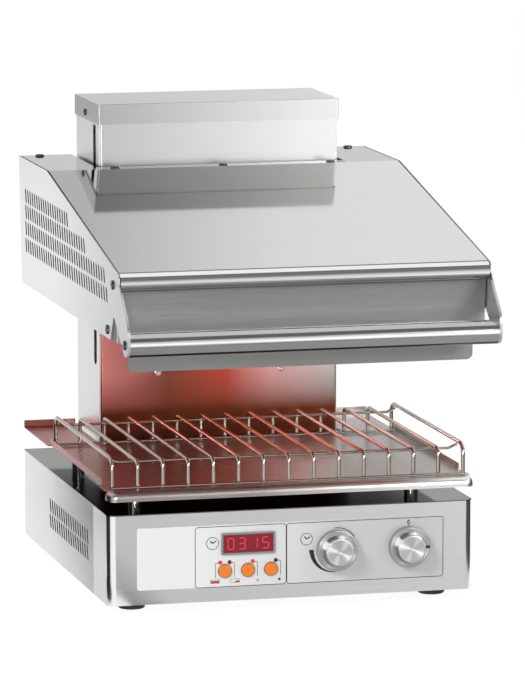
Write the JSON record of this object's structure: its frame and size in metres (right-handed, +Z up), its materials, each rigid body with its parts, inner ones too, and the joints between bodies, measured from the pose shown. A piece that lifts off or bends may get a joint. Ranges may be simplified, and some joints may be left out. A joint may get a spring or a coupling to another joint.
{
  "type": "salamander grill",
  "caption": "Countertop salamander grill: vented steel hood with tube handle slides on a rear column above a wire grid; front keypad, red display and two metal knobs.",
  "frame": {"origin": "middle of the bounding box, on the floor under the feet", "axes": "+Z up, front with the controls and the handle faces -Y, +X to the viewer's right"},
  "size_m": [0.4828, 0.652, 0.6035],
  "materials": {
    "steel_panel": "satin",
    "steel_polished": "polished",
    "steel_wire": "polished",
    "steel_inner": "plain",
    "screw_steel": "polished",
    "rod_chrome": "polished",
    "black_rubber": "matte",
    "foil_grey": "matte",
    "frame_silver": "satin",
    "window_red": "gloss",
    "button_orange": "semi-gloss",
    "lamp_lens": "gloss",
    "digit_display": "plain",
    "board_green": "matte",
    "black_plastic": "matte",
    "knob_metal": "spun",
    "bush_brass": "plain",
    "black_paint": "gloss",
    "heater_ceramic": "matte",
    "heater_ribbon": "plain",
    "glass_ceramic": "clear",
    "block_white": "matte"
  },
  "bodies": {
    "base": {"base_top": "steel_polished", "front_panel": "steel_panel", "side_left": "steel_panel", "side_right": "steel_panel", "back_panel": "steel_panel", "bottom_plate": "steel_inner", "rubber_feet": "black_rubber", "base_screws": "screw_steel", "control_foil": "foil_grey", "display_bezel": "frame_silver", "display_window": "window_red", "display_module": "digit_display", "control_board": "board_green", "board_spacers": "bush_brass", "key_switches": "black_plastic", "indicator_lamps": "lamp_lens", "timer_switch": "black_plastic", "power_regulator": "black_plastic", "cable_gland": "black_plastic", "terminal_block": "block_white", "power_relay": "black_plastic", "transformer": "steel_inner", "tray_posts": "steel_polished", "tray": "steel_polished", "column_shell": "steel_panel", "column_front": "steel_panel", "column_cap": "steel_panel", "column_screws": "screw_steel", "column_foot": "steel_inner", "top_plate": "steel_inner", "stop_bar": "black_rubber", "guide_rods": "rod_chrome", "gas_tubes": "black_paint"},
    "hood": {"hood_top": "steel_panel", "hood_side_left": "steel_panel", "hood_side_right": "steel_panel", "hood_back_left": "steel_panel", "hood_back_right": "steel_panel", "hood_liner": "steel_panel", "hood_front": "steel_panel", "heater_frame": "steel_panel", "glass_panel": "glass_ceramic", "heater_dishes": "heater_ceramic", "heater_ribbons": "heater_ribbon", "heater_clamps": "steel_inner", "handle_bar": "steel_polished", "hood_screws": "screw_steel", "carriage": "steel_inner", "carriage_bolts": "screw_steel", "guide_bushes": "bush_brass", "gas_rods": "rod_chrome"},
    "timer_control": {"timer_knob": "knob_metal", "timer_shaft": "screw_steel"},
    "power_control": {"power_knob": "knob_metal", "power_shaft": "screw_steel"},
    "select_key": {"select_button": "button_orange"},
    "start_key": {"start_button": "button_orange"},
    "stop_key": {"stop_button": "button_orange"},
    "wire_grid": {"grid": "steel_wire"}
  },
  "joints": [
    {"name": "hood_lift", "type": "slide", "parent": "base", "child": "hood", "axis": [0, 0, 1], "range_m": [-0.11, 0.05]},
    {"name": "timer_turn", "type": "hinge", "parent": "base", "child": "timer_control", "pos_m": [0.058, -0.204, 0.0708], "axis": [0, 1, 0], "range_deg": [0, 300]},
    {"name": "power_turn", "type": "hinge", "parent": "base", "child": "power_control", "pos_m": [0.1529, -0.204, 0.0708], "axis": [0, 1, 0], "range_deg": [-90, 180]},
    {"name": "select_press", "type": "slide", "parent": "base", "child": "select_key", "axis": [0, 1, 0], "range_m": [0, 0.0008], "stiffness_N_per_m": 1500},
    {"name": "start_press", "type": "slide", "parent": "base", "child": "start_key", "axis": [0, 1, 0], "range_m": [0, 0.0008], "stiffness_N_per_m": 1500},
    {"name": "stop_press", "type": "slide", "parent": "base", "child": "stop_key", "axis": [0, 1, 0], "range_m": [0, 0.0008], "stiffness_N_per_m": 1500},
    {"name": "grid_lift", "type": "slide", "parent": "base", "child": "wire_grid", "axis": [0, 0, 1], "range_m": [0, 0.03]}
  ]
}
